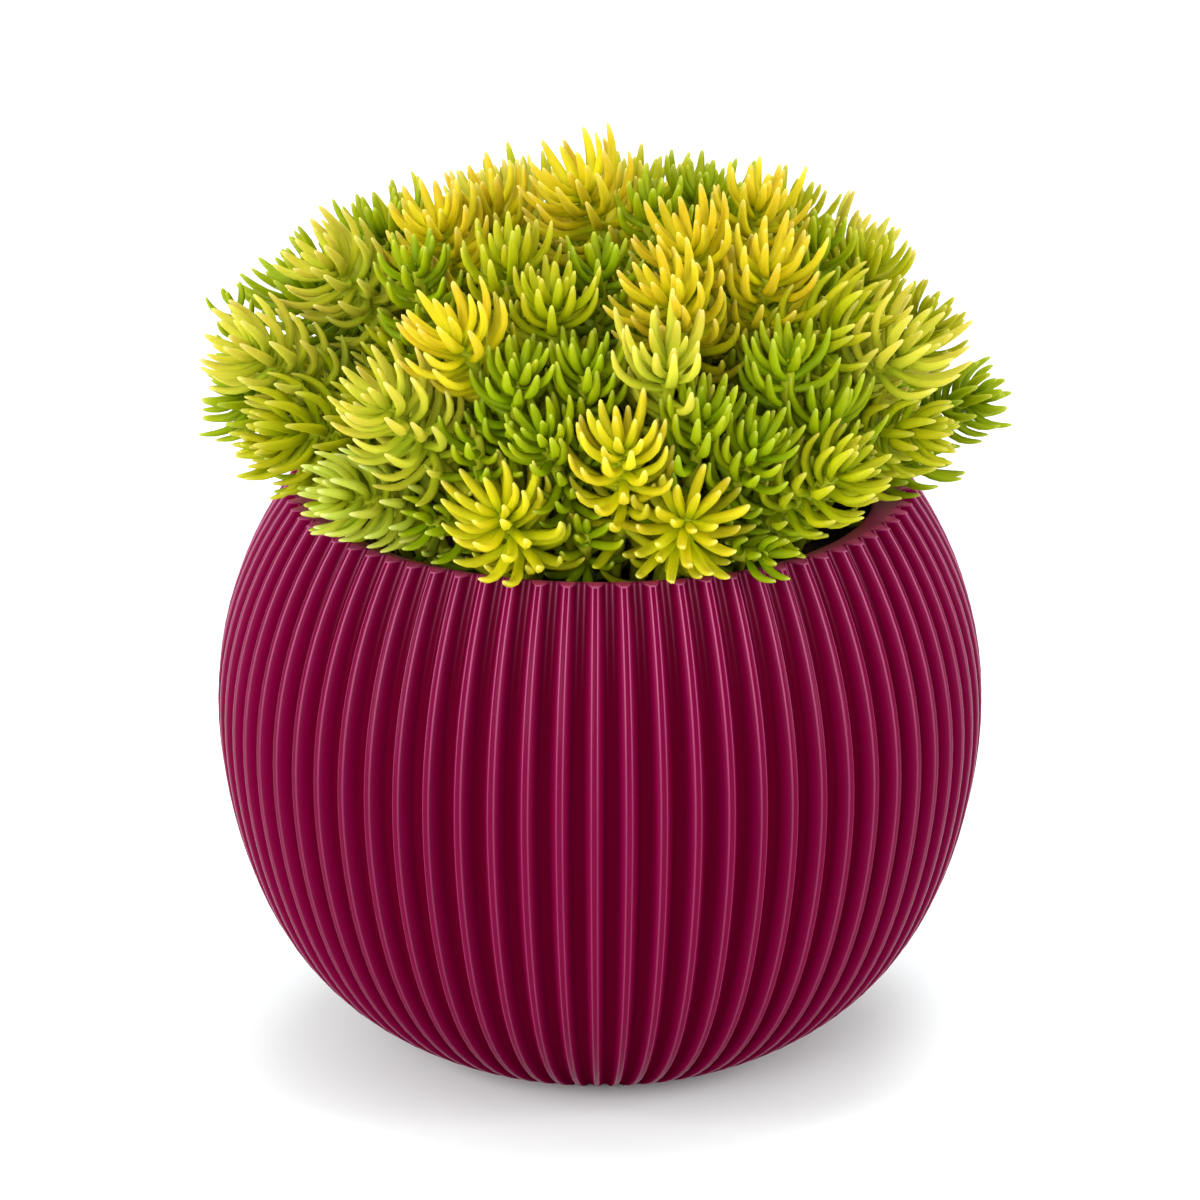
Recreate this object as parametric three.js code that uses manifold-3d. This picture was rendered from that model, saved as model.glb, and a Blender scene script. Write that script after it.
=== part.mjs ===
// A golden needle-leaved stonecrop in a ribbed globe pot.
// Millimetres, +Z up, the origin at the centre of the pot's flat foot, the front along -Y.
import * as THREE from "three";
import { mergeVertices } from "three/addons/utils/BufferGeometryUtils.js";
import Module from "manifold-3d";

const wasm = await Module();
wasm.setup();

// Driving dimensions of the pot.
const POT_RADIUS = 100;
const WIDEST_HEIGHT = 94;
const RIM_HEIGHT = 152;
const RIB_COUNT = 72;
const RIB_DEPTH_SHARE = 0.037;
const RIB_TOP_SHARE = 0.3;
const RIB_TURN = -0.16;
const BELLY_BULGE = 0.042;
const BELLY_BULGE_ANGLE = 1.6;
const BANDS_BELOW = 4;
const BANDS_ABOVE = 3;
const WALL = 3.8;
const FLOOR_THICKNESS = 6;
const MOUTH_RADIUS = 70.5;
const LIP_RADIUS = 78;
const LIP_DROP = 2.2;
const LIP_THICKNESS = 2.5;
const INNER_BANDS = 4;
const ROUND_SEGMENTS = 36;

// Driving dimensions of the soil and the stems that stand in it.
const SOIL_HEIGHT = 139;
const SEAT_GAP = 0.3;
const ROOT_DEPTH = 9;
const ROOT_RISE = 2;
const ROOT_SPREAD = 62;
const STEM_RADIUS = 1.5;
const STEM_SIDES = 5;

// Driving dimensions of a leafy head.
const HEAD_RADII = [3.2, 3.3, 2.9];
const HEAD_STEP = 2.8;
const HEAD_CAP = 3;
const COLLAR_DROP = 6;
const TIER_TWIST = 18;
const LEAF_LENGTH = 20;
const LEAF_THICKNESS = 2.9;
const LEAF_BEND_AT = 0.54;
const LEAF_GAP = 0.35;
const OWN_LEAF_SHARE = 0.55;
const LOWEST_SLOPES = [90, 26];
const OUTER_SLOPE = 67;
const MIDDLE_SLOPE = 18;
const MIDDLE_FULLNESS = 0.62;
const COLLAR_SLOPE = 88;
const COLLAR_FULLNESS = 0.75;
const TALL_HEAD_SIZE = 1;
const SMALL_HEAD_SIZE = 0.75;

const degrees = THREE.MathUtils.degToRad;

const FINISHES = {
  pot: { color: 0x8f1c4c, roughness: 0.38, metalness: 0 },
  soil: { color: 0x2a1d14, roughness: 0.95, metalness: 0 },
  golden: { color: 0xdcbe28, roughness: 0.5, metalness: 0 },
  pale: { color: 0xd8cf5c, roughness: 0.5, metalness: 0 },
  lime: { color: 0xb2ba22, roughness: 0.5, metalness: 0 },
  green: { color: 0x7da61e, roughness: 0.5, metalness: 0 },
  sage: { color: 0x9db56a, roughness: 0.5, metalness: 0 },
};

// The heads that the front shows: degrees round from the front, millimetres out from the axis and up
// from the rim, the way it faces round, its lean from upright, its size and its colour.
const FRONT_HEADS = [
  [15, 78, 13, 8, 60, 1.05, "golden"],
  [-16, 78, 12, -25, 48, 1.05, "golden"],
  [-40, 85, 17, -72, 78, 0.85, "sage"],
  [36, 90, 22, 68, 52, 0.85, "lime"],
  [25, 83, 27, 45, 30, 0.8, "green"],
  [4, 84, 29, -4, 30, 0.95, "golden"],
  [-8, 80, 31, -35, 32, 0.8, "green"],
  [-57, 82, 28, -76, 82, 1, "lime"],
  [-80, 83, 27, -88, 80, 0.9, "green"],
  [-33, 86, 38, -58, 42, 1.05, "pale"],
  [17, 82, 34, 25, 20, 0.9, "green"],
  [41, 82, 30, 55, 15, 0.95, "green"],
  [54, 88, 31, 80, 86, 0.76, "lime"],
  [92, 88, 20, 86, 73, 0.75, "green"],
  [-66, 87, 42, -74, 56, 1, "pale"],
  [-92, 92, 40, -95, 18, 0.5, "green"],
  [-15, 79, 44, 25, 18, 0.8, "green"],
  [-3, 74, 45, 0, 8, 0.8, "green"],
  [12, 80, 48, 0, 24, 1.1, "pale"],
  [35, 80, 44, 20, 10, 0.85, "green"],
  [54, 84, 45, 72, 48, 1.15, "pale"],
  [-23, 78, 53, -52, 36, 1.1, "golden"],
  [-10, 66, 59, 5, 10, 0.85, "lime"],
  [-23, 57, 65, -10, 8, 0.9, "lime"],
  [18, 63, 60, -35, 32, 1, "golden"],
  [47, 74, 54, 82, 58, 0.95, "lime"],
  [42, 60, 62, 50, 16, 1, "golden"],
  [-73, 64, 58, -62, 46, 1, "pale"],
  [-98, 54, 56, -80, 12, 0.95, "green"],
  [83, 66, 52, 85, 14, 0.92, "lime"],
  [-65, 42, 65, -50, 20, 1, "golden"],
  [-96, 26, 64, -70, 16, 1, "golden"],
  [30, 49, 67, -30, 26, 1.1, "golden"],
  [67, 42, 70, 60, 10, 0.9, "golden"],
  [-4, 14, 74, -54, 29, 1.15, "golden"],
  [114, 27, 64, 60, 6, 0.95, "green"],
  [111, 49, 58, 92, 14, 0.9, "lime"],
  [104, 80, 30, 92, 38, 0.85, "lime"],
];

// The cushion that the heads behind them fill, and how far apart they stand.
const CUSHION = { radius: 81, height: 34, middle: 27, lowest: -0.42 };
const BACK_SPOTS = 400;
const BACK_FRONTIER = -2;
const BACK_SPACING = 23.5;
const BACK_LOWEST = 13;
const BACK_SEED = 11;
const BACK_COLOURS = ["golden", "lime", "pale", "green", "lime"];

// A repeatable source of numbers between 0 and 1.
function randomSource(seed) {
  let state = seed;
  return () => {
    state = (state + 0x6d2b79f5) | 0;
    let mixed = Math.imul(state ^ (state >>> 15), 1 | state);
    mixed = (mixed + Math.imul(mixed ^ (mixed >>> 7), 61 | mixed)) ^ mixed;
    return ((mixed ^ (mixed >>> 14)) >>> 0) / 4294967296;
  };
}

// A solid from a closed geometry, for the cuts.
function solidOf(geometry) {
  const bare = geometry.clone();
  bare.deleteAttribute("normal");
  bare.deleteAttribute("uv");
  const merged = mergeVertices(bare, 1e-4);
  const vertProperties = new Float32Array(merged.attributes.position.array);
  const triVerts = new Uint32Array(merged.index.array);
  return new wasm.Manifold(new wasm.Mesh({ numProp: 3, vertProperties, triVerts }));
}

// A geometry back from a solid.
function geometryOf(solid) {
  const { vertProperties, triVerts } = solid.getMesh();
  const geometry = new THREE.BufferGeometry();
  geometry.setAttribute("position", new THREE.BufferAttribute(vertProperties, 3));
  geometry.setIndex(new THREE.BufferAttribute(triVerts, 1));
  geometry.computeVertexNormals();
  return geometry;
}

// A geometry from a list of points and a list of faces.
function geometryFrom(points, faces) {
  const geometry = new THREE.BufferGeometry().setFromPoints(points);
  geometry.setIndex(faces.flat());
  geometry.computeVertexNormals();
  return geometry;
}

// A turned solid about the Z axis from points given as [radius, height].
function turned(profile) {
  const points = profile.map(([radius, height]) => new THREE.Vector2(radius, height));
  return new THREE.LatheGeometry(points, ROUND_SEGMENTS).rotateX(Math.PI / 2);
}

// The direction at a number of degrees round from the front and leaning from upright.
function heading(round, lean) {
  const level = Math.sin(degrees(lean));
  const turn = degrees(round);
  return new THREE.Vector3(level * Math.sin(turn), -level * Math.cos(turn), Math.cos(degrees(lean)));
}

// The point at a number of degrees round from the front, a radius and a height.
function place(round, radius, height) {
  return heading(round, 90).multiplyScalar(radius).setZ(height);
}

// The globe's radius from its centre at an angle above its widest line: a sphere, fuller below.
function globeReach(angle) {
  const fuller = angle < 0 ? Math.abs(Math.sin((Math.PI * angle) / BELLY_BULGE_ANGLE)) ** 3 : 0;
  return POT_RADIUS * (1 + BELLY_BULGE * fuller);
}

// The reach of the pot's inner wall at an angle, drawn in by a clearance.
function innerReach(angle, clearance) {
  return globeReach(angle) * (1 - RIB_DEPTH_SHARE) - WALL - clearance;
}

// The angle where a surface with such a reach is at a height above the foot.
function angleAt(height, reachAt) {
  let angle = (height - WIDEST_HEIGHT) / POT_RADIUS;
  for (let step = 0; step < 40; step += 1) {
    angle += (height - WIDEST_HEIGHT - reachAt(angle) * Math.sin(angle)) / POT_RADIUS;
  }
  return angle;
}

// The globe with its vertical ribs, still solid, flat at the foot and at the rim.
function ribbedGlobe() {
  const low = angleAt(0, globeReach);
  const high = angleAt(RIM_HEIGHT, globeReach);
  const bands = BANDS_BELOW + BANDS_ABOVE;
  const around = RIB_COUNT * 3;
  const halfTop = RIB_TOP_SHARE / 2;
  const points = [];
  for (let band = 0; band <= bands; band += 1) {
    const above = band - BANDS_BELOW;
    const angle = above < 0 ? (-low * above) / BANDS_BELOW : (high * above) / BANDS_ABOVE;
    const ridge = globeReach(angle) * Math.cos(angle);
    const groove = ridge * (1 - RIB_DEPTH_SHARE);
    const height = WIDEST_HEIGHT + globeReach(angle) * Math.sin(angle);
    for (let rib = 0; rib < RIB_COUNT; rib += 1) {
      const corners = [
        [-halfTop, ridge],
        [halfTop, ridge],
        [0.5, groove],
      ];
      for (const [share, radius] of corners) {
        points.push(place(((rib + share + RIB_TURN) * 360) / RIB_COUNT, radius, height));
      }
    }
  }
  const faces = [];
  for (let band = 0; band < bands; band += 1) {
    for (let i = 0; i < around; i += 1) {
      const a = band * around + i;
      const b = band * around + ((i + 1) % around);
      faces.push([a, b, b + around], [a, b + around, a + around]);
    }
  }
  const foot = points.length;
  points.push(new THREE.Vector3(0, 0, 0), new THREE.Vector3(0, 0, RIM_HEIGHT));
  const top = bands * around;
  for (let i = 0; i < around; i += 1) {
    const next = (i + 1) % around;
    faces.push([next, i, foot], [top + i, top + next, foot + 1]);
  }
  return geometryFrom(points, faces);
}

// Points up the inner wall from the floor to the top of the soil, drawn in by a clearance.
function innerWall(clearance) {
  const wallReach = (angle) => innerReach(angle, 0);
  const low = angleAt(FLOOR_THICKNESS, wallReach);
  const high = angleAt(SOIL_HEIGHT, wallReach);
  const profile = [];
  for (let row = 0; row <= INNER_BANDS; row += 1) {
    const angle = low + ((high - low) * row) / INNER_BANDS;
    const reach = innerReach(angle, clearance);
    profile.push([reach * Math.cos(angle), WIDEST_HEIGHT + reach * Math.sin(angle)]);
  }
  return profile;
}

// The pot: the ribbed globe, hollowed, with a smooth lip that slopes in from the rim.
function potGeometry() {
  const wall = innerWall(0);
  const lipLine = RIM_HEIGHT - LIP_DROP;
  const underLip = lipLine - LIP_THICKNESS;
  const over = 5;
  const slope = (LIP_RADIUS - MOUTH_RADIUS) / LIP_DROP;
  const hollow = turned([
    [0, wall[0][1]],
    ...wall,
    [innerReach(0, 0) * Math.cos(angleAt(underLip, globeReach)), underLip],
    [MOUTH_RADIUS, lipLine - LIP_THICKNESS / 2],
    [MOUTH_RADIUS, lipLine],
    [LIP_RADIUS + slope * over, RIM_HEIGHT + over],
    [0, RIM_HEIGHT + over],
  ]);
  return geometryOf(solidOf(ribbedGlobe()).subtract(solidOf(hollow)));
}

// A tube of rings about a path, closed at its foot and left open at its last ring.
function startTube(stations, radius, sides) {
  const points = [];
  const faces = [];
  for (let side = 2; side < sides; side += 1) {
    faces.push([0, side, side - 1]);
  }
  let across = new THREE.Vector3(1, 0, 0);
  stations.forEach(({ at, along }, row) => {
    across = across.clone().addScaledVector(along, -across.dot(along)).normalize();
    const beside = new THREE.Vector3().crossVectors(along, across);
    for (let side = 0; side < sides; side += 1) {
      const turn = (2 * Math.PI * side) / sides;
      const out = across.clone().multiplyScalar(Math.cos(turn)).addScaledVector(beside, Math.sin(turn));
      points.push(at.clone().addScaledVector(out, radius));
      if (row > 0) {
        const a = (row - 1) * sides + side;
        const b = (row - 1) * sides + ((side + 1) % sides);
        faces.push([a, b, b + sides], [a, b + sides, a + sides]);
      }
    }
  });
  return { points, faces, across };
}

// Where a head's stem leaves the soil, and which way it points there.
function rootOf(head) {
  const drawnIn = ROOT_SPREAD * Math.sqrt(Math.max(0.06, 1 - head.rise / 88));
  const radius = Math.min(0.74 * head.out, drawnIn);
  const at = place(head.round, radius, SOIL_HEIGHT);
  const lean = 8 + 22 * (radius / ROOT_SPREAD);
  return { at, along: heading(head.round, Math.min(lean, head.out)) };
}

// The stations of a stem: straight through the soil, then curving to meet the head from below.
function stemStations(head) {
  const { at, along } = head.root;
  const foot = at.clone().addScaledVector(along, -ROOT_DEPTH);
  const out = at.clone().addScaledVector(along, ROOT_RISE);
  const reach = out.distanceTo(head.base) * 0.4;
  const path = new THREE.CubicBezierCurve3(
    out,
    out.clone().addScaledVector(along, reach),
    head.base.clone().addScaledVector(head.axis, -reach),
    head.base,
  );
  const stations = [{ at: foot, along }];
  for (const step of [0, 1 / 2]) {
    stations.push({ at: path.getPoint(step), along: path.getTangent(step) });
  }
  const collar = head.base.clone().addScaledVector(head.axis, -COLLAR_DROP * head.girth);
  stations.push({ at: collar, along: head.axis }, { at: head.base, along: head.axis });
  return stations;
}

// Every stretch of stem or leaf so far, with its head's number, start, end and radius.
const stretches = [];

// The shortest distance between two straight stretches.
function distanceBetween(a, b) {
  const first = a.end.clone().sub(a.start);
  const second = b.end.clone().sub(b.start);
  const between = a.start.clone().sub(b.start);
  const ff = first.dot(first);
  const ss = second.dot(second);
  const fs = first.dot(second);
  const fb = first.dot(between);
  const sb = second.dot(between);
  const clamp = (value) => Math.min(1, Math.max(0, value));
  const square = ff * ss - fs * fs;
  let t = square > 1e-9 ? clamp((fs * sb - fb * ss) / square) : 0;
  const u = clamp((fs * t + sb) / ss);
  t = clamp((fs * u - fb) / ff);
  return between.addScaledVector(first, t).addScaledVector(second, -u).length();
}

// Whether a stretch keeps its distance from the pot's rim and the soil.
function clearsPot(stretch) {
  const margin = stretch.radius + 2 * LEAF_GAP;
  for (let step = 0; step <= 4; step += 1) {
    const point = stretch.start.clone().lerp(stretch.end, step / 4);
    const radius = Math.hypot(point.x, point.y);
    const aboveRim = point.z - RIM_HEIGHT - margin;
    if (aboveRim > 0) {
      continue;
    }
    if (radius > MOUTH_RADIUS - margin && radius < POT_RADIUS) {
      const height = Math.min(RIM_HEIGHT, point.z);
      const outside = POT_RADIUS * Math.cos(angleAt(height, globeReach));
      const beyond = radius > outside + margin && point.z > WIDEST_HEIGHT;
      if (!beyond) {
        return false;
      }
    } else if (point.z < SOIL_HEIGHT + margin) {
      return false;
    }
  }
  return true;
}

// Whether a stretch keeps its distance from every other head, and its outer end from its own head's leaves.
function clearsOthers(stretch) {
  const room = 40;
  return stretches.every((other) => {
    const own = other.head === stretch.head;
    if ((own && !(stretch.outer && other.leaf)) || other.start.distanceTo(stretch.start) > room) {
      return true;
    }
    const touching = stretch.radius + other.radius;
    return distanceBetween(stretch, other) > (own ? touching * OWN_LEAF_SHARE : touching + LEAF_GAP);
  });
}

// The two stretches of a leaf that leaves its head at one slope and ends at another.
function leafStretches(head, from, level, slopes, length) {
  const [rootSlope, tipSlope] = slopes.map(degrees);
  const lift = (slope) =>
    level.clone().multiplyScalar(Math.sin(slope)).addScaledVector(head.axis, Math.cos(slope));
  const bend = from.clone().addScaledVector(lift(rootSlope), length * LEAF_BEND_AT);
  const tip = bend.clone().addScaledVector(lift(tipSlope), length * (1 - LEAF_BEND_AT));
  const half = LEAF_THICKNESS / 2;
  return [
    { head: head.number, leaf: true, start: from, end: bend, radius: half * 1.1 },
    { head: head.number, leaf: true, outer: true, start: bend, end: tip, radius: half * 0.8 },
  ];
}

// The first way to lay a leaf, from full length and spread to short and upright, that clears the rest.
function fittedLeaf(head, from, level, slopes, length) {
  for (const shorter of [1, 0.86, 0.72, 0.6]) {
    for (const upright of [0, 10, -9, 20]) {
      const eased = slopes.map((slope) => Math.max(6, slope - upright));
      const leaf = leafStretches(head, from, level, eased, length * shorter);
      if (leaf.every((part) => clearsPot(part) && clearsOthers(part))) {
        return leaf;
      }
    }
  }
  return null;
}

// Raises a leaf from one face of the head: a fleshy, three-sided needle with or without a bend.
function raiseLeaf(shoot, face, leaf, bent) {
  const { points, faces } = shoot;
  const corners = face.map((index) => points[index]);
  const [low, high] = leaf;
  const tip = points.length;
  points.push(high.end);
  if (!bent) {
    face.forEach((corner, i) => faces.push([corner, face[(i + 1) % 3], tip]));
    return;
  }
  const middle = new THREE.Vector3().add(corners[0]).add(corners[1]).add(corners[2]).divideScalar(3);
  const normal = new THREE.Vector3()
    .crossVectors(corners[1].clone().sub(corners[0]), corners[2].clone().sub(corners[0]))
    .normalize();
  const along = high.end.clone().sub(low.start).normalize();
  const turn = new THREE.Quaternion().setFromUnitVectors(normal, along);
  const ring = corners.map((corner) => {
    const arm = corner.clone().sub(middle).applyQuaternion(turn);
    return low.end.clone().addScaledVector(arm.normalize(), LEAF_THICKNESS * 0.56);
  });
  points.push(...ring);
  face.forEach((corner, i) => {
    const next = face[(i + 1) % 3];
    const a = tip + 1 + i;
    const b = tip + 1 + ((i + 1) % 3);
    faces.push([corner, next, b], [corner, b, a], [a, b, tip]);
  });
}

// Lays the rings of a head on top of its stem and returns the faces that carry leaves, lowest first.
function headFaces(shoot, head) {
  const { points, across } = shoot;
  const beside = new THREE.Vector3().crossVectors(head.axis, across);
  const first = points.length - STEM_SIDES;
  head.radii.forEach((radius, ring) => {
    const level = head.base.clone().addScaledVector(head.axis, (ring + 1) * HEAD_STEP * head.girth);
    for (let side = 0; side < STEM_SIDES; side += 1) {
      const turn = (2 * Math.PI * (side + (ring + 1) / 2)) / STEM_SIDES;
      const out = across.clone().multiplyScalar(Math.cos(turn)).addScaledVector(beside, Math.sin(turn));
      points.push(level.clone().addScaledVector(out, radius * head.girth));
    }
  });
  const summit = points.length;
  const peak = head.radii.length * HEAD_STEP + HEAD_CAP;
  points.push(head.base.clone().addScaledVector(head.axis, peak * head.girth));
  const tiers = head.radii.map(() => []);
  const cap = [];
  for (let side = 0; side < STEM_SIDES; side += 1) {
    const next = (side + 1) % STEM_SIDES;
    tiers.forEach((tier, ring) => {
      const a = first + ring * STEM_SIDES;
      const b = a + STEM_SIDES;
      tier.push([a + side, a + next, b + side], [a + next, b + next, b + side]);
    });
    cap.push([summit - STEM_SIDES + side, summit - STEM_SIDES + next, summit]);
  }
  return [...tiers, cap];
}

// Lays a leaf on each face of one tier of a head; a face where no leaf fits stays plain.
function layTier(shoot, head, tier, { slopes, fullness, twist }, random) {
  tier.forEach((face) => {
    const middle = new THREE.Vector3();
    face.forEach((corner) => middle.addScaledVector(shoot.points[corner], 1 / 3));
    const out = middle.clone().sub(head.base);
    out.addScaledVector(head.axis, -out.dot(head.axis)).normalize();
    out.applyAxisAngle(head.axis, twist);
    const sway = (random() - 0.5) * 14;
    const length = LEAF_LENGTH * head.size * fullness * (0.88 + 0.24 * random());
    const aim = slopes.map((slope) => slope + sway);
    const leaf = fittedLeaf(head, middle, out, aim, length);
    if (leaf) {
      stretches.push(...leaf);
      raiseLeaf(shoot, face, leaf, slopes[0] !== slopes[1]);
    } else {
      shoot.faces.push(face);
    }
  });
}

// One leafy shoot: its stem, the head on it, and the leaves that stand out of the head, from the lowest
// tier, which spreads and curves up like a goblet, to the short upright leaves in the middle. A collar of
// straight leaves stands out of the stem under them.
function shootGeometry(head, random) {
  const shoot = startTube(head.stations, STEM_RADIUS, STEM_SIDES);
  const collar = shoot.faces.splice(-2 * STEM_SIDES);
  const tiers = headFaces(shoot, head);
  tiers.forEach((tier, level) => {
    const inward = level / (tiers.length - 1);
    const slope = THREE.MathUtils.lerp(OUTER_SLOPE, MIDDLE_SLOPE, inward);
    const slopes = level === 0 ? LOWEST_SLOPES : [slope, slope];
    const fullness = THREE.MathUtils.lerp(1, MIDDLE_FULLNESS, inward);
    const twist = (level % 2) * degrees(TIER_TWIST);
    layTier(shoot, head, tier, { slopes, fullness, twist }, random);
  });
  const slopes = [COLLAR_SLOPE, COLLAR_SLOPE];
  layTier(shoot, head, collar, { slopes, fullness: COLLAR_FULLNESS, twist: 0 }, random);
  return geometryFrom(shoot.points, shoot.faces);
}

// The heads of the far side: points of an even spiral over the cushion, where there is room for one.
function backHeads(placed) {
  const random = randomSource(BACK_SEED);
  const golden = 180 * (3 - Math.sqrt(5));
  const heads = [];
  for (let spot = 0; spot < BACK_SPOTS; spot += 1) {
    const sine = 1 - ((1 - CUSHION.lowest) * (spot + 0.5)) / BACK_SPOTS;
    const round = ((spot * golden + 540) % 360) - 180;
    const out = CUSHION.radius * Math.sqrt(1 - sine * sine);
    const rise = CUSHION.middle + CUSHION.height * sine;
    const base = place(round, out, RIM_HEIGHT + rise);
    const free = [...placed, ...heads].every((other) => other.base.distanceTo(base) > BACK_SPACING);
    if (base.y > BACK_FRONTIER && rise > BACK_LOWEST && free) {
      const lean = 10 + 72 * Math.max(0, 1 - rise / 72) + 8 * random();
      const colour = BACK_COLOURS[heads.length % BACK_COLOURS.length];
      const size = 0.92 + 0.2 * random();
      heads.push(headFrom([round, out, rise, round + 30 * (random() - 0.5), lean, size, colour]));
    }
  }
  return heads;
}

// A head's place, direction and size from one row of plain values.
function headFrom([round, out, rise, faces, lean, size, colour]) {
  const head = { round, out, rise, size, colour };
  head.girth = size < SMALL_HEAD_SIZE ? 0.8 : 1;
  head.radii = size < TALL_HEAD_SIZE ? HEAD_RADII.slice(1) : HEAD_RADII;
  head.base = place(round, out, RIM_HEIGHT + rise);
  head.axis = heading(faces, lean);
  return head;
}

// The soil: a plug that fills the pot to below the lip, with a plain hole for each stem.
function soilGeometry(heads) {
  const wall = innerWall(SEAT_GAP);
  const plug = turned([[0, wall[0][1]], ...wall, [0, wall.at(-1)[1]]]);
  const holeRadius = STEM_RADIUS + SEAT_GAP / Math.cos(Math.PI / STEM_SIDES);
  const holes = heads.map(({ root }) => {
    const deep = root.at.clone().addScaledVector(root.along, -ROOT_DEPTH - SEAT_GAP);
    const open = root.at.clone().addScaledVector(root.along, ROOT_RISE);
    const { points, faces } = startTube(
      [
        { at: deep, along: root.along },
        { at: open, along: root.along },
      ],
      holeRadius,
      STEM_SIDES,
    );
    for (let side = 2; side < STEM_SIDES; side += 1) {
      faces.push([STEM_SIDES, STEM_SIDES + side - 1, STEM_SIDES + side]);
    }
    return solidOf(geometryFrom(points, faces));
  });
  return geometryOf(holes.reduce((left, hole) => left.subtract(hole), solidOf(plug)));
}

const materials = Object.fromEntries(
  Object.entries(FINISHES).map(([name, look]) => [name, new THREE.MeshStandardMaterial(look)]),
);
const plant = new THREE.Group();

// A named piece of the object.
function addPiece(name, geometry, finish) {
  const mesh = new THREE.Mesh(geometry, materials[finish]);
  mesh.name = name;
  plant.add(mesh);
}

const frontHeads = FRONT_HEADS.map(headFrom);
const heads = [...frontHeads, ...backHeads(frontHeads)];
heads.forEach((head, index) => {
  head.number = index + 1;
  head.root = rootOf(head);
  head.stations = stemStations(head);
  head.stations.slice(1).forEach(({ at }, row) => {
    stretches.push({ head: head.number, start: head.stations[row].at, end: at, radius: STEM_RADIUS });
  });
  const top = head.radii.length * HEAD_STEP * head.girth;
  const tip = head.base.clone().addScaledVector(head.axis, top);
  const radius = head.radii[0] * head.girth;
  stretches.push({ head: head.number, start: head.base, end: tip, radius });
});

addPiece("pot", potGeometry(), "pot");
addPiece("soil", soilGeometry(heads), "soil");
const leafRandom = randomSource(29);
heads.forEach((head) => {
  const name = "shoot_" + String(head.number).padStart(2, "0");
  addPiece(name, shootGeometry(head, leafRandom), head.colour);
});

export default plant;
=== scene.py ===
import math
import random

import bmesh
import bpy
from mathutils import Matrix, Vector, noise


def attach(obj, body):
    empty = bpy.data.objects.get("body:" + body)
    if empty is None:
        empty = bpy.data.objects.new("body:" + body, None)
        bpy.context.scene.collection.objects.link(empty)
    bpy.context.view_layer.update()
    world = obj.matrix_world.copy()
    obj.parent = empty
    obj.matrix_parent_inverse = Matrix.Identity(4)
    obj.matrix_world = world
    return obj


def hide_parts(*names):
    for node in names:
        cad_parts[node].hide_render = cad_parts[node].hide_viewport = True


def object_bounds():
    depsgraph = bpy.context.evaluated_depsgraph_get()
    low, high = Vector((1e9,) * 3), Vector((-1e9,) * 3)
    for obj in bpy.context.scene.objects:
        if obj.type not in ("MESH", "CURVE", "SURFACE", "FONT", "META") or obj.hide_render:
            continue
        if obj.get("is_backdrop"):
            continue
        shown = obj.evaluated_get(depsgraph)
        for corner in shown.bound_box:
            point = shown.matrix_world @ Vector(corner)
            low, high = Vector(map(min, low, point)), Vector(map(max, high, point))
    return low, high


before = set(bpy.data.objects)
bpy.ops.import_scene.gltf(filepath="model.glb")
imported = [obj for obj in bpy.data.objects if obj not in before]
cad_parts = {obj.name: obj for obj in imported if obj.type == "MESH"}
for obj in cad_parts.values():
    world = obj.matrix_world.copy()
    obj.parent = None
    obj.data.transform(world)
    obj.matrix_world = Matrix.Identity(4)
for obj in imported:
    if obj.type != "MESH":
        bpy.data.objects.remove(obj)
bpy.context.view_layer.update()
MM = 0.001

# Camera and light.
# A long lens well back from the pot and a little above it, as a catalogue picture is taken.
CAMERA_AT = (0, -1552 * MM, 654.3 * MM)
CAMERA_PITCH = 18.98
CAMERA_LENS = 188.7
SENSOR_WIDTH = 36
SIGHT_LIMIT = 20

camera = bpy.data.objects.new("camera", bpy.data.cameras.new("camera"))
camera.location = CAMERA_AT
camera.rotation_euler = (math.radians(90 - CAMERA_PITCH), 0, 0)
camera.data.lens = CAMERA_LENS
camera.data.sensor_width = SENSOR_WIDTH
camera.data.clip_end = SIGHT_LIMIT
bpy.context.scene.collection.objects.link(camera)
bpy.context.scene.camera = camera
bpy.context.scene.view_settings.view_transform = "Standard"

# Soft boxes: a large one high on the left front, one overhead, and a tall narrow one at each side, which
# draw the thin bright lines down the ribs. They are aimed at the pot's upper half, in a plain white room.
SOFT_BOXES = {
    "key_box": {"at": (-0.7, -2.1, 0.95), "size": (1.2, 1.2), "power": 36},
    "top_box": {"at": (0.1, 0.3, 2.0), "size": (1.4, 1.4), "power": 27},
    "left_strip": {"at": (-1.5, -0.7, 0.5), "size": (0.3, 1.4), "power": 22},
    "right_strip": {"at": (1.5, -0.7, 0.5), "size": (0.3, 1.4), "power": 22},
}
AIM = Vector((0, 0, 130 * MM))
ROOM_LIGHT = 0.87

for name, box in SOFT_BOXES.items():
    light = bpy.data.lights.new(name, "AREA")
    light.shape = "RECTANGLE"
    light.size, light.size_y = box["size"]
    light.energy = box["power"]
    lamp = bpy.data.objects.new(name, light)
    lamp.location = box["at"]
    lamp.rotation_euler = (AIM - lamp.location).to_track_quat("-Z", "Y").to_euler()
    bpy.context.scene.collection.objects.link(lamp)

world = bpy.data.worlds.new("studio")
world.use_nodes = True
world.node_tree.nodes["Background"].inputs["Color"].default_value = (1, 1, 1, 1)
world.node_tree.nodes["Background"].inputs["Strength"].default_value = ROOM_LIGHT
bpy.context.scene.world = world

# Floor.
# A plain pale sheet of paper that the pot stands on.
FLOOR_SIZE = 8
FIBRE_SCALE = 60
PAPER_TONES = [(0, (0.84, 0.88, 0.88)), (1, (0.86, 0.9, 0.9))]


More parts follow.
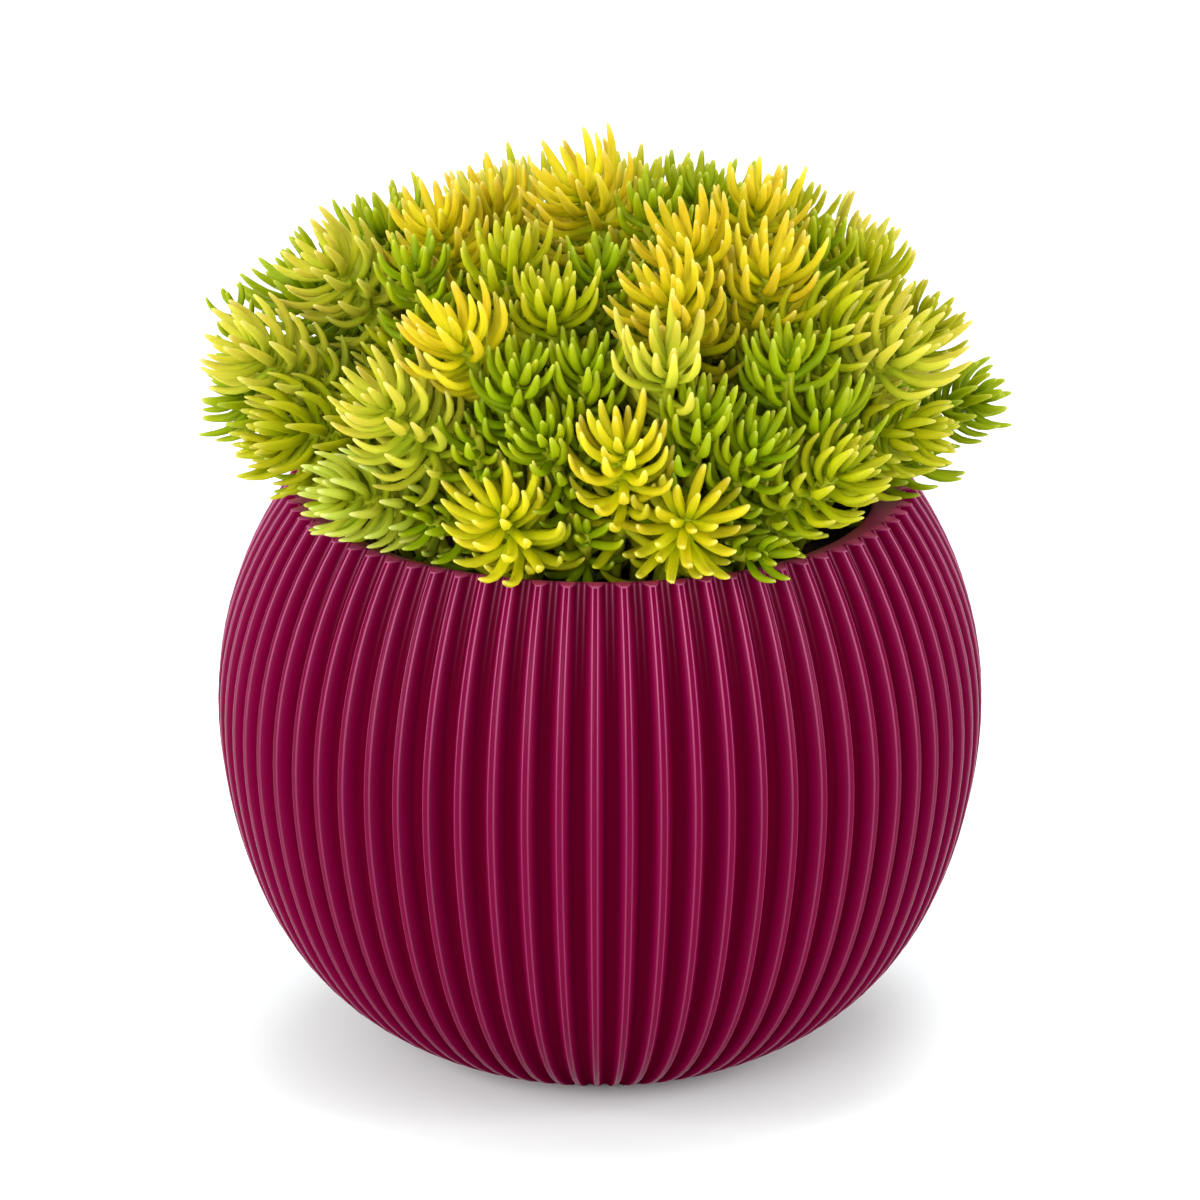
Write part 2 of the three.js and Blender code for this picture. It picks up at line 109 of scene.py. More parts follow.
def new_material(name, roughness, specular):
    """A material with its Principled shader, and a maker of further nodes in it."""
    material = bpy.data.materials.new(name)
    material.use_nodes = True
    shader = material.node_tree.nodes["Principled BSDF"]
    shader.inputs["Roughness"].default_value = roughness
    shader.inputs["Specular IOR Level"].default_value = specular

    def add(kind, sources=(), **settings):
        made = material.node_tree.nodes.new("ShaderNode" + kind)
        for key, value in settings.items():
            setattr(made, key, value)
        for socket, source in dict(sources).items():
            if isinstance(source, bpy.types.NodeSocket):
                material.node_tree.links.new(source, made.inputs[socket])
            else:
                made.inputs[socket].default_value = source
        return made

    return material, shader, add


def join(material, source, socket):
    """Links a node's output to an input of the material's shader."""
    material.node_tree.links.new(source, socket)


def colour_ramp(add, source, stops):
    """A colour ramp with a stop for each (position, colour)."""
    ramp = add("ValToRGB", {"Fac": source})
    elements = ramp.color_ramp.elements
    while len(elements) < len(stops):
        elements.new(0.5)
    for element, (position, colour) in zip(elements, stops):
        element.position = position
        element.color = (*colour, 1)
    return ramp.outputs["Color"]


def specks(add, scale, detail=2):
    """A fine uneven pattern, set in the piece."""
    place = add("TexCoord").outputs["Object"]
    return add("TexNoise", {"Vector": place, "Scale": scale, "Detail": detail}).outputs["Fac"]


def mark(add, name):
    """A value that is marked on each point of the piece."""
    return add("Attribute", attribute_name=name).outputs["Fac"]


def emboss(add, material, shader, pattern, strength, distance):
    """Lets a pattern stand a small distance out of the surface."""
    bump = add("Bump", {"Height": pattern, "Strength": strength, "Distance": distance})
    join(material, bump.outputs[0], shader.inputs["Normal"])


bm = bmesh.new()
bmesh.ops.create_grid(bm, x_segments=1, y_segments=1, size=FLOOR_SIZE / 2)
mesh = bpy.data.meshes.new("floor")
bm.to_mesh(mesh)
bm.free()
floor = bpy.data.objects.new("floor", mesh)
bpy.context.scene.collection.objects.link(floor)
paper, shader, add = new_material("paper", roughness=0.8, specular=0.2)
join(paper, colour_ramp(add, specks(add, FIBRE_SCALE), PAPER_TONES), shader.inputs["Base Color"])
mesh.materials.append(paper)
floor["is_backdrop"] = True

# Pot.
# One moulded plastic shell: a globe with close vertical ribs, fuller below its widest line, cut off flat
# at the foot and at the rim. Inside the rim a smooth lip slopes in and down to the mouth.
POT_RADIUS = 100 * MM
WIDEST_HEIGHT = 94 * MM
RIM_HEIGHT = 152 * MM
WALL = 3.8 * MM
FLOOR_THICKNESS = 6 * MM
MOUTH_RADIUS = 70.5 * MM
LIP_RADIUS = 78 * MM
LIP_DROP = 2.2 * MM
LIP_ROUND = 1.25 * MM
EDGE_ROUND = 0.6 * MM
RIM_ROUND = 0.3 * MM
# How much fuller the belly is at most, as a share of the radius, and over how wide an angle in radians.
BELLY_BULGE = 0.042
BELLY_BULGE_ANGLE = 1.6

# The ribs: how many, how deep as a share of the radius, and how far they are turned, in pitches. Then half
# of one, from the middle of its ridge to the middle of the groove: share of the pitch, share of the depth,
# and how strong a painted highlight it gets, as the corners of the ridge and of the groove do.
RIB_COUNT = 72
RIB_DEPTH = 0.037
RIB_TURN = -0.16
RIB_HALF = [(0, 0, 0), (0.06, 0, 0), (0.08, 0.01, 0.8), (0.098, 0.045, 1), (0.115, 0.11, 0.15),
            (0.19, 0.42, 0), (0.25, 0.66, 0), (0.315, 0.88, 0), (0.365, 0.98, 0.15), (0.395, 1, 0.6),
            (0.43, 1, 0.1), (0.5, 1, 0)]
RIB_PROFILE = RIB_HALF + [(1 - share, depth, highlight) for share, depth, highlight in RIB_HALF[-2:0:-1]]

# The painted highlight is full at the rim and fades down the side: the height that it fades to, what stays
# of it below on the ridge's corners, how fast it goes on the ridge and in the groove, the depth that parts
# the two, and how much of it the rim's own edge has.
HIGHLIGHT_FADES_TO_HEIGHT = 80 * MM
HIGHLIGHT_LEAST = 0.24
RIDGE_FADE, GROOVE_FADE = 2, 9
GROOVE_FROM = 0.5
RIM_PAINTED_HIGHLIGHT = 0.7

# The rings of the wall. The foot and the inner floor have rings at shares of their radius. The last ring of
# the side stands just under the rim's rounding, and a narrow band of the rim's flat top follows the ribs.
OUTER_ROWS = 30
INNER_ROWS = 4
FOOT_RINGS = (0.5, 0.8)
INNER_FLOOR_RING = 0.5
RIM_SHOULDER = 1.4 * RIM_ROUND
RIM_EDGE = 1.2 * RIM_ROUND
RIM_BAND, RIM_BAND_RIBBED = 0.15 * MM, 0.98
# Down the lip, from the end of the ribs: the radius, and how far under the rim.
LIP_RINGS = [(LIP_RADIUS + 0.2 * MM, 0), (LIP_RADIUS - 0.7 * MM, 0.25 * MM),
             (MOUTH_RADIUS + 1.6 * MM, LIP_DROP - 0.2 * MM)]
# The mouth's edge is half round, in this many steps. A height on the globe is closed in on by tries.
MOUTH_STEPS = 4
HEIGHT_TRIES = 40
MERGE_WITHIN = 0.001 * MM

# Deep plum, darker in the grooves as painted shade and paler in thin lines at the corners as painted
# highlights, with a soft sheen on the ridges and a fine moulded grain. The inside is the same plastic left
# matt, and painted paler than the outside as a painted sheen.
PLUM_WITH_PAINTED_GROOVE_SHADE = [(0, (0.106, 0.0007, 0.023)), (0.5, (0.119, 0.0004, 0.023)), (1, (0.065, 0.0002, 0.009))]
PLUM_PAINTED_HIGHLIGHT = (0.42, 0.095, 0.2, 1)
PLUM_PAINTED_SHEEN_TONES = [(0.3, (0.42, 0.03, 0.12)), (0.7, (0.49, 0.036, 0.145))]
CLOUD_SCALE, CLOUD_DETAIL, CLOUD_SHARE = 28, 3, 0.1
RIDGE_GLOSS, GLOSS_GONE_BY = 0.03, 0.2
GRAIN_SCALE, GRAIN_STRENGTH, GRAIN_HEIGHT = 2200, 0.06, 0.2 * MM


def globe_reach(angle):
    """The globe's radius from its centre at an angle above its widest line."""
    fuller = abs(math.sin(math.pi * angle / BELLY_BULGE_ANGLE)) ** 3 if angle < 0 else 0
    return POT_RADIUS * (1 + BELLY_BULGE * fuller)


def inner_reach(angle):
    """The same for the inner wall, which stands clear of the grooves."""
    return globe_reach(angle) * (1 - RIB_DEPTH) - WALL


def angle_at(height, reach_at):
    """The angle where a surface with such a reach is at a height above the foot, found by closing in."""
    angle = (height - WIDEST_HEIGHT) / POT_RADIUS
    for _ in range(HEIGHT_TRIES):
        angle += (height - WIDEST_HEIGHT - reach_at(angle) * math.sin(angle)) / POT_RADIUS
    return angle


def wall_rows(low, high, rows, reach_at):
    """Points (radius, height) up a wall between two heights."""
    start, end = angle_at(low, reach_at), angle_at(high, reach_at)
    points = []
    for row in range(rows + 1):
        angle = start + (end - start) * row / rows
        points.append((reach_at(angle) * math.cos(angle), WIDEST_HEIGHT + reach_at(angle) * math.sin(angle)))
    return points


def spin_round(bm, chain, steps):
    """Joins a chain of points from axis to axis and turns it once round into a closed body."""
    edges = [bm.edges.new(pair) for pair in zip(chain, chain[1:])]
    bmesh.ops.spin(bm, geom=chain + edges, cent=(0, 0, 0), axis=(0, 0, 1), angle=2 * math.pi,
                   steps=steps, use_merge=True)
    bmesh.ops.remove_doubles(bm, verts=bm.verts, dist=MERGE_WITHIN)


def finished(bm, name, *materials):
    """Turns a bmesh into a smooth-shaded piece with these materials, riding on the one body."""
    mesh = bpy.data.meshes.new(name)
    bm.to_mesh(mesh)
    bm.free()
    mesh.shade_smooth()
    for material in materials:
        mesh.materials.append(material)
    piece = bpy.data.objects.new(name, mesh)
    bpy.context.scene.collection.objects.link(piece)
    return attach(piece, "root")


# The shell's outline as (radius, height, how far the ribs shape it), from the foot's middle up the outside,
# over the rim, down the lip, round the mouth's edge and down the inside to the middle of the floor.
outer = wall_rows(EDGE_ROUND, RIM_HEIGHT - RIM_SHOULDER, OUTER_ROWS, globe_reach)
outer += wall_rows(RIM_HEIGHT - RIM_SHOULDER, RIM_HEIGHT - RIM_ROUND, 1, globe_reach)[1:]
lip_line = RIM_HEIGHT - LIP_DROP
inner = wall_rows(FLOOR_THICKNESS, lip_line - 2 * LIP_ROUND, INNER_ROWS, inner_reach)
foot_radius = outer[0][0] - EDGE_ROUND
rim_radius = outer[-1][0] - RIM_ROUND
pot_rows = [(0, 0, 0)] + [(share * foot_radius, 0, 0) for share in FOOT_RINGS] + [(foot_radius, 0, 1)]
pot_rows += [(radius, height, 1) for radius, height in outer]
pot_rows += [(rim_radius, RIM_HEIGHT, 1), (rim_radius - RIM_BAND, RIM_HEIGHT, RIM_BAND_RIBBED)]
pot_rows += [(radius, RIM_HEIGHT - drop, 0) for radius, drop in LIP_RINGS]
for step in range(MOUTH_STEPS + 1):
    turn = math.pi * step / MOUTH_STEPS
    radius = MOUTH_RADIUS + LIP_ROUND * (1 - math.sin(turn))
    pot_rows.append((radius, lip_line - LIP_ROUND * (1 - math.cos(turn)), 0))
pot_rows += [(radius, height, 0) for radius, height in reversed(inner)]
pot_rows += [(INNER_FLOOR_RING * inner[0][0], FLOOR_THICKNESS, 0), (0, FLOOR_THICKNESS, 0)]

bm = bmesh.new()
ribbed = bm.verts.layers.float.new("ribbed")
groove = bm.verts.layers.float.new("groove")
painted_highlight = bm.verts.layers.float.new("painted_highlight")
chain = []
for radius, height, share in pot_rows:
    vertex = bm.verts.new((0, -radius, height))
    vertex[ribbed] = share
    chain.append(vertex)
spin_round(bm, chain, RIB_COUNT * len(RIB_PROFILE))

# Each point of the outside takes its place in the profile of its rib.
for vertex in bm.verts:
    radius = math.hypot(vertex.co.x, vertex.co.y)
    if vertex[ribbed]:
        turn = math.atan2(vertex.co.x, -vertex.co.y) / (2 * math.pi)
        rib, step = divmod(round(turn * RIB_COUNT * len(RIB_PROFILE)), len(RIB_PROFILE))
        share, vertex[groove], highlight = RIB_PROFILE[step]
        # Painted highlight: each point is marked for a paler colour at the rib corners, strongest near the
        # rim and on its edge.
        near_rim = min(1, max(0, vertex.co.z - HIGHLIGHT_FADES_TO_HEIGHT) / (RIM_HEIGHT - HIGHLIGHT_FADES_TO_HEIGHT))
        least, fade = (HIGHLIGHT_LEAST, RIDGE_FADE) if vertex[groove] < GROOVE_FROM else (0, GROOVE_FADE)
        vertex[painted_highlight] = highlight * (least + (1 - least) * near_rim ** fade)
        if vertex.co.z > RIM_HEIGHT - RIM_EDGE:
            vertex[painted_highlight] = RIM_PAINTED_HIGHLIGHT * max(highlight, 1 - vertex[groove]) if vertex[ribbed] == 1 else 0
        turn = 2 * math.pi * (rib + share + RIB_TURN) / RIB_COUNT
        radius *= 1 - RIB_DEPTH * vertex[groove]
        vertex.co.x, vertex.co.y = radius * math.sin(turn), -radius * math.cos(turn)
# The plastic inside the rim is matt, and painted paler as a painted sheen, from the lip down to the floor.
for face in bm.faces:
    matt = all(vertex[ribbed] < 1 and vertex.co.z > FLOOR_THICKNESS / 2 for vertex in face.verts)
    face.material_index = 1 if matt else 0
bmesh.ops.recalc_face_normals(bm, faces=bm.faces)

plum, shader, add = new_material("plum_plastic", roughness=0.24, specular=RIDGE_GLOSS)
depth = mark(add, "groove")
clouds = specks(add, CLOUD_SCALE, CLOUD_DETAIL)
cloudy = add("Math", {0: clouds, 1: CLOUD_SHARE}, operation="MULTIPLY").outputs[0]
tone = add("Math", {0: depth, 1: cloudy}).outputs[0]
# Painted shade: the plum is darker the deeper the groove.
body = colour_ramp(add, tone, PLUM_WITH_PAINTED_GROOVE_SHADE)
# Painted highlight: the paler plum where that mark is set.
highlighted = add("MixRGB", {"Fac": mark(add, "painted_highlight"), "Color1": body, "Color2": PLUM_PAINTED_HIGHLIGHT})
join(plum, highlighted.outputs[0], shader.inputs["Base Color"])
gloss = add("MapRange", {"Value": depth, "From Max": GLOSS_GONE_BY, "To Min": RIDGE_GLOSS, "To Max": 0.0})
join(plum, gloss.outputs[0], shader.inputs["Specular IOR Level"])
emboss(add, plum, shader, specks(add, GRAIN_SCALE), GRAIN_STRENGTH, GRAIN_HEIGHT)

# Painted sheen: the inside's plum is several times paler than the outside's.
plum_painted_sheen, shader, add = new_material("matt_plum_plastic", roughness=0.42, specular=0.4)
clouds = specks(add, CLOUD_SCALE, CLOUD_DETAIL)
join(plum_painted_sheen, colour_ramp(add, clouds, PLUM_PAINTED_SHEEN_TONES), shader.inputs["Base Color"])

pot = finished(bm, "ribbed_pot", plum, plum_painted_sheen)
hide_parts("pot")

# Potting soil.
# Dark peaty mix that fills the pot to below its lip, with a loose crumbly top. It holds the stems.
SOIL_HEIGHT = 139 * MM
SEAT_GAP = 0.3 * MM
SOIL_STEPS = 120
SOIL_SIDE_ROWS = 10
SOIL_TOP_RINGS = 24
# The top is uneven by this much, in lumps of this many to the metre, but for a margin at the wall.
SOIL_BUMP = 1.6 * MM
SOIL_LUMPS = 180
SOIL_MARGIN = 1 * MM
# The crumbs: how many, their least and most reach in millimetres, how far they keep from the wall and sink
# into the top, and the line that they are tipped about.
CRUMBS = 1100
CRUMB_SEED = 5
CRUMB_REACH = (0.6, 2.2)
CRUMB_MARGIN = 3 * MM
CRUMB_SINK = 0.6 * MM
CRUMB_AXIS = Vector((1, 0.4, 0.7)).normalized()
PEAT_SCALE, PEAT_DETAIL, PEAT_STRENGTH, PEAT_ROUGH = 260, 4, 0.6, 1 * MM
PEAT_TONES = [(0.3, (0.012, 0.008, 0.005)), (0.7, (0.06, 0.036, 0.02))]

top_height = SOIL_HEIGHT - SOIL_BUMP
side = [(radius - SEAT_GAP, height) for radius, height in
        wall_rows(FLOOR_THICKNESS + SEAT_GAP, top_height, SOIL_SIDE_ROWS, inner_reach)]
soil_radius = side[-1][0]
top = [(soil_radius * (1 - ring / SOIL_TOP_RINGS), top_height) for ring in range(1, SOIL_TOP_RINGS + 1)]
bm = bmesh.new()
chain = [bm.verts.new((0, -radius, height)) for radius, height in [(0, side[0][1])] + side + top]
spin_round(bm, chain, SOIL_STEPS)
bmesh.ops.recalc_face_normals(bm, faces=bm.faces)
for vertex in bm.verts:
    inside = math.hypot(vertex.co.x, vertex.co.y) < soil_radius - SOIL_MARGIN
    if inside and vertex.co.z > SOIL_HEIGHT - 2 * SOIL_BUMP:
        vertex.co.z += SOIL_BUMP * (0.5 + noise.noise(vertex.co * SOIL_LUMPS))
crumb_random = random.Random(CRUMB_SEED)
for _ in range(CRUMBS):
    out = (soil_radius - CRUMB_MARGIN) * math.sqrt(crumb_random.random())
    turn = crumb_random.uniform(0, 2 * math.pi)
    at = Vector((out * math.cos(turn), out * math.sin(turn), SOIL_HEIGHT - CRUMB_SINK))
    reach = [crumb_random.uniform(*CRUMB_REACH) * MM for _ in range(3)]
    tilt = Matrix.Rotation(crumb_random.uniform(0, math.pi), 4, CRUMB_AXIS)
    bmesh.ops.create_icosphere(bm, subdivisions=1, radius=1,
                               matrix=Matrix.LocRotScale(at, tilt.to_quaternion(), reach))

peat, shader, add = new_material("peaty_mix", roughness=0.95, specular=0.2)
lumps = specks(add, PEAT_SCALE, PEAT_DETAIL)
join(peat, colour_ramp(add, lumps, PEAT_TONES), shader.inputs["Base Color"])
emboss(add, peat, shader, lumps, PEAT_STRENGTH, PEAT_ROUGH)

soil = finished(bm, "potting_soil", peat)
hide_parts("soil")

# Leafy shoots.
# Each shoot is one fleshy green stem with fleshy needle leaves that wind round it in a spiral. The young
# leaves stand up in the middle of the head; the older ones below them spread and curve up like a goblet.

# The heads that the front shows: degrees round from the front, millimetres out from the axis and up
# from the rim, the way the head faces round, its lean from upright, its size and its colour.
FRONT_HEADS = [
    (15, 78, 13, 8, 60, 1.05, "golden"),
    (-16, 78, 12, -25, 48, 1.05, "golden"),
    (-40, 85, 17, -72, 78, 0.85, "sage"),
    (36, 90, 22, 68, 52, 0.85, "lime"),
    (25, 83, 27, 45, 30, 0.8, "green"),
    (4, 84, 29, -4, 30, 0.95, "golden"),
    (-8, 80, 31, -35, 32, 0.8, "green"),
    (-57, 82, 28, -76, 82, 1, "lime"),
    (-80, 83, 27, -88, 80, 0.9, "green"),
    (-33, 86, 38, -58, 42, 1.05, "pale"),
    (17, 82, 34, 25, 20, 0.9, "green"),
    (41, 82, 30, 55, 15, 0.95, "green"),
    (54, 88, 31, 80, 86, 0.76, "lime"),
    (92, 88, 20, 86, 73, 0.75, "green"),
    (-66, 87, 42, -74, 56, 1, "pale"),
    (-92, 92, 40, -95, 18, 0.5, "green"),
    (-15, 79, 44, 25, 18, 0.8, "green"),
    (-3, 74, 45, 0, 8, 0.8, "green"),
    (12, 80, 48, 0, 24, 1.1, "pale"),
    (35, 80, 44, 20, 10, 0.85, "green"),
    (54, 84, 45, 72, 48, 1.15, "pale"),
    (-23, 78, 53, -52, 36, 1.1, "golden"),
    (-10, 66, 59, 5, 10, 0.85, "lime"),
    (-23, 57, 65, -10, 8, 0.9, "lime"),
    (18, 63, 60, -35, 32, 1, "golden"),
    (47, 74, 54, 82, 58, 0.95, "lime"),
    (42, 60, 62, 50, 16, 1, "golden"),
    (-73, 64, 58, -62, 46, 1, "pale"),
    (-98, 54, 56, -80, 12, 0.95, "green"),
    (83, 66, 52, 85, 14, 0.92, "lime"),
    (-65, 42, 65, -50, 20, 1, "golden"),
    (-96, 26, 64, -70, 16, 1, "golden"),
    (30, 49, 67, -30, 26, 1.1, "golden"),
    (67, 42, 70, 60, 10, 0.9, "golden"),
    (-4, 14, 74, -54, 29, 1.15, "golden"),
    (114, 27, 64, 60, 6, 0.95, "green"),
    (111, 49, 58, 92, 14, 0.9, "lime"),
    (104, 80, 30, 92, 38, 0.85, "lime"),
]

# The rest of the cushion, behind them: its radius, its height above its middle, the middle's height above
# the rim and the lowest share of its height. The heads stand where an even spiral of spots over it has room.
CUSHION = (81, 34, 27, -0.42)
GOLDEN_TURN = 180 * (3 - math.sqrt(5))
BACK_SPOTS, BACK_FIRST_TURN = 400, 540
BACK_FRONTIER = -2
BACK_SPACING = 23.5
BACK_LOWEST = 13
BACK_SEED = 11
BACK_COLOURS = ["golden", "lime", "pale", "green", "lime"]
# What a back head has at least, and how much a draw may add: its lean, its size, and its turn to either
# side. The lean also grows with the distance under the height at which heads stand upright.
BACK_LEAN, BACK_LEAN_DRAW = 10, 8
BACK_SIZE, BACK_SIZE_DRAW = 0.92, 0.2
BACK_TURN_DRAW = 30
UPRIGHT_RISE, LOW_LEAN = 72, 72

# Where a stem leaves the soil: at this share of its head's distance from the axis, but within a spread that
# narrows to nearly nothing for heads up at the top rise. Its lean there, at the axis and what it has more at
# the full spread. It runs straight from its foot in the soil to just above it, and then bends to its head.
ROOT_UNDER_HEAD = 0.74
ROOT_SPREAD = 62
TOP_RISE = 88
ROOT_LEAST = 0.06
ROOT_LEAN, ROOT_LEAN_MORE = 8, 22
ROOT_DEPTH = 9 * MM
ROOT_RISE = 2 * MM
STEM_SIDES = 8
STEM_RADIUS = 1.5 * MM
STEM_ROWS = 9
STEM_BEND = 0.4
# The core of a head, on top of its stem: height and radius of each ring in millimetres.
CORE_RINGS = ((3, 1.9), (6, 1.9), (8.5, 1.5), (10.5, 0.9))

# A leaf's widths along its length: narrow at the root, widest at the middle, bluntly pointed. It is flatter
# on its upper side, it starts to bend just past its root, and its root is seated in the stem's skin.
LEAF_SIDES = 6
LEAF_LENGTH = 20 * MM
LEAF_WIDTH = 1.5 * MM
LEAF_DEPTH = 1.3 * MM
LEAF_FLATTER = 0.72
LEAF_ROWS = [(0, 0.74), (0.14, 0.88), (0.3, 0.98), (0.46, 1.0), (0.62, 0.93), (0.76, 0.79), (0.89, 0.57),
             (0.97, 0.34)]
LEAF_LEVELS = [level for level, _ in LEAF_ROWS] + [1]
LEAF_BEND_FROM = 0.1
LEAF_SEAT = 0.9 * MM

# A head's leaves, from the youngest at the top to the oldest: how far above and below the stem's end they
# sit, and how they crowd to the top. Their slope at the root and at the tip is given as the youngest leaf's,
# what the oldest has more, and how soon it comes.
HEAD_LEAVES = 42
HEAD_TOP = 10.5 * MM
HEAD_DROP = 23 * MM
HEAD_CROWDING = 1.25
ROOT_SLOPE, ROOT_SLOPE_MORE, ROOT_SLOPE_SOON = 24, 76, 0.55
TIP_SLOPE, TIP_SLOPE_MORE, TIP_SLOPE_SOON = 3, 20, 1.5
# The youngest leaf's share of the full length, what it still grows, and by which share of the head it has
# grown. From another share on, over the rest, the old leaves are shorter again.
YOUNGEST_LENGTH, LEFT_TO_GROW, GROWN_BY = 0.42, 0.58, 0.28
OLD_FROM, OLD_REST, OLD_SHORTER = 0.7, 0.3, 0.2
HEAD_AGE = 0.75
# The old leaves on the stem below the head.
STEM_LEAVES = 9
STEM_LEAF_STEP = 2.0 * MM
STEM_LEAF_SLOPES = (100, 36)
STEM_LEAF_LENGTH = 0.8
STEM_LEAF_AGE, STEM_LEAF_OLDER = 0.8, 0.2
# A sprig is a shoot under this size, with fewer leaves. A small shoot is slimmer too.
SPRIG_SIZE = 0.7
SPRIG_LEAVES = (12, 3)
SMALL_SIZE, SMALL_GIRTH = 0.75, 0.8
# Each shoot has its own draws: how far chance turns a leaf round the stem and sways it, in degrees, and the
# limits of its share of the length.
SHOOT_SEED = 1000
TURN_DRAW = 9
SWAY_DRAW = 7
LENGTH_DRAW = (0.9, 1.1)
# A short leaf is narrower: the least share of the full width, and what a full length adds.
NARROWEST, WIDER = 0.8, 0.2
# Leaves are turned about the stem from the side, or from the back where the stem itself points sideways.
SIDEWAYS = 0.9

# Leaves of different shoots keep this far from each other, and all of them from the pot and the soil. A leaf
# with no room is tried shorter and turned by these degrees, but not past the least slope.
CLEARANCE = 2.0 * MM
POT_CLEARANCE = 1.2 * MM
SHORTER_TRIES = (1, 0.82, 0.64)
UPRIGHT_TRIES = (0, 12, -10, 26)
LEAST_SLOPE = 4

# Fleshy skin: its colour at the root, in the middle, further up and at the tip, the greener and darker
# colour of old leaves low in the head, whose darkness is painted shade, and how much greener the hue is on
# heads low on the cushion.
LEAF_COLOURS = {
    "golden": [(0.31, 0.35, 0.002), (0.5, 0.42, 0.003), (0.55, 0.42, 0.016), (0.55, 0.44, 0.1),
               (0.29, 0.31, 0.002), 0.017],
    "pale": [(0.3, 0.36, 0.01), (0.39, 0.41, 0.015), (0.46, 0.41, 0.036), (0.5, 0.44, 0.12),
             (0.27, 0.31, 0.005), 0],
    "lime": [(0.2, 0.26, 0.001), (0.27, 0.3, 0.001), (0.34, 0.335, 0.005), (0.41, 0.38, 0.06),
             (0.17, 0.21, 0.001), 0],
    "green": [(0.125, 0.19, 0.0005), (0.18, 0.25, 0.0008), (0.24, 0.295, 0.002), (0.32, 0.36, 0.04),
              (0.1, 0.16, 0.0005), 0],
    "sage": [(0.26, 0.29, 0.004), (0.31, 0.35, 0.01), (0.35, 0.39, 0.04), (0.46, 0.49, 0.17),
             (0.23, 0.28, 0.014), 0],
}
COLOUR_LEVELS = (0, 0.35, 0.85, 1)
# Leaves take the old colour and its painted shade from this age on, and at most this far. A head gets its
# first sun at this rise in millimetres, and full sun this much further up.
OLD_SHADE_FROM_AGE, OLD_SHADE_AT_MOST = 0.35, 0.85
SUN_FROM, SUN_OVER = 14, 30
# The hue differs from leaf to leaf, and the brightness in faint patches. Light passes into the juicy skin.
HUE_RANGE = (0.49, 0.512)
SAME_HUE = 0.5
MOTTLE_SCALE = 90
VALUE_RANGE = (0.8, 1.2)
SAP_SHARE, SAP_REACH, SAP_DEPTH = 0.3, (1.0, 0.85, 0.2), 1.6 * MM
STREAK_SCALE, STREAK_DETAIL = 160, 3
STEM_TONES = [(0.3, (0.24, 0.28, 0.006)), (0.7, (0.36, 0.39, 0.015))]


def random_source(seed):
    """The repeatable numbers between 0 and 1 that placed the heads of the solids."""
    mask = 0xFFFFFFFF
    state = seed

    def draw():
        nonlocal state
        state = (state + 0x6D2B79F5) & mask
        mixed = ((state ^ (state >> 15)) * (1 | state)) & mask
        mixed = ((mixed + (mixed ^ (mixed >> 7)) * (61 | mixed)) ^ mixed) & mask
        return (mixed ^ (mixed >> 14)) / (mask + 1)

    return draw


def heading(round_, lean):
    """The direction at some degrees round from the front and leaning from upright."""
    level, turn = math.sin(math.radians(lean)), math.radians(round_)
    return Vector((level * math.sin(turn), -level * math.cos(turn), math.cos(math.radians(lean))))


def place_at(round_, out, height):
    """The place at some degrees round from the front, millimetres out from the axis, and a height."""
    place = heading(round_, 90) * out * MM
    place.z = height
    return place


def spiral_spot(spot, spots, first_turn, cushion):
    """One spot of an even spiral over a layer of the cushion: round, out, up and share of its height."""
    radius, height, middle, lowest = cushion
    sine = 1 - ((1 - lowest) * (spot + 0.5)) / spots
    round_ = (spot * GOLDEN_TURN + first_turn) % 360 - 180
    return round_, radius * math.sqrt(1 - sine * sine), middle + height * sine, sine


def head_from(row):
    round_, out, rise, faces, lean, size, colour = row
    return {"round": round_, "out": out, "rise": rise, "size": size, "colour": colour,
            "girth": SMALL_GIRTH if size < SMALL_SIZE else 1,
            "base": place_at(round_, out, RIM_HEIGHT + rise * MM), "axis": heading(faces, lean)}


def roomy(base, spacing, others):
    """Whether a head with this base would keep its distance from the others."""
    return all((head["base"] - base).length > spacing * MM for head in others)


def cell_of(point):
    return tuple(math.floor(value / CLEARANCE) for value in point)


def crowded(point, number):
    """Whether another shoot already holds this point."""
    cx, cy, cz = cell_of(point)
    for x in (cx - 1, cx, cx + 1):
        for y in (cy - 1, cy, cy + 1):
            for z in (cz - 1, cz, cz + 1):
                for other, held in occupied.get((x, y, z), ()):
                    if other != number and (held - point).length < CLEARANCE:
                        return True
    return False


def blocked(point):
    """Whether a point lies in the pot's wall, its lip or the soil."""
    radius = math.hypot(point.x, point.y)
    if point.z > RIM_HEIGHT + POT_CLEARANCE:
        return False
    if radius < MOUTH_RADIUS - POT_CLEARANCE:
        return point.z < SOIL_HEIGHT + POT_CLEARANCE
    above = max(0, min(point.z, RIM_HEIGHT) - WIDEST_HEIGHT)
    return radius < math.sqrt(POT_RADIUS ** 2 - above ** 2) + POT_CLEARANCE


def leaf_line(root, out, axis, slopes, length):
    """The middle line of a leaf, as (place, direction) at each level of its pattern."""
    first, last = slopes
    place, level, line = root.copy(), 0, []
    for next_level in LEAF_LEVELS:
        bend = min(1, max(0, (level + next_level) / 2 - LEAF_BEND_FROM) / (1 - LEAF_BEND_FROM))
        slope = math.radians(first + (last - first) * bend * bend * (3 - 2 * bend))
        along = out * math.sin(slope) + axis * math.cos(slope)
        place = place + along * (length * (next_level - level))
        level = next_level
        line.append((place, along))
    return line


def fitted_line(root, out, axis, slopes, length, number):
    """The first way to lay a leaf that clears the rest, from full length to short."""
    for shorter in SHORTER_TRIES:
        for upright in UPRIGHT_TRIES:
            eased = [max(LEAST_SLOPE, slope - upright) for slope in slopes]
            line = leaf_line(root, out, axis, eased, length * shorter)
            if not any(blocked(place) or crowded(place, number) for place, _ in line[1:]):
                return line
    return None


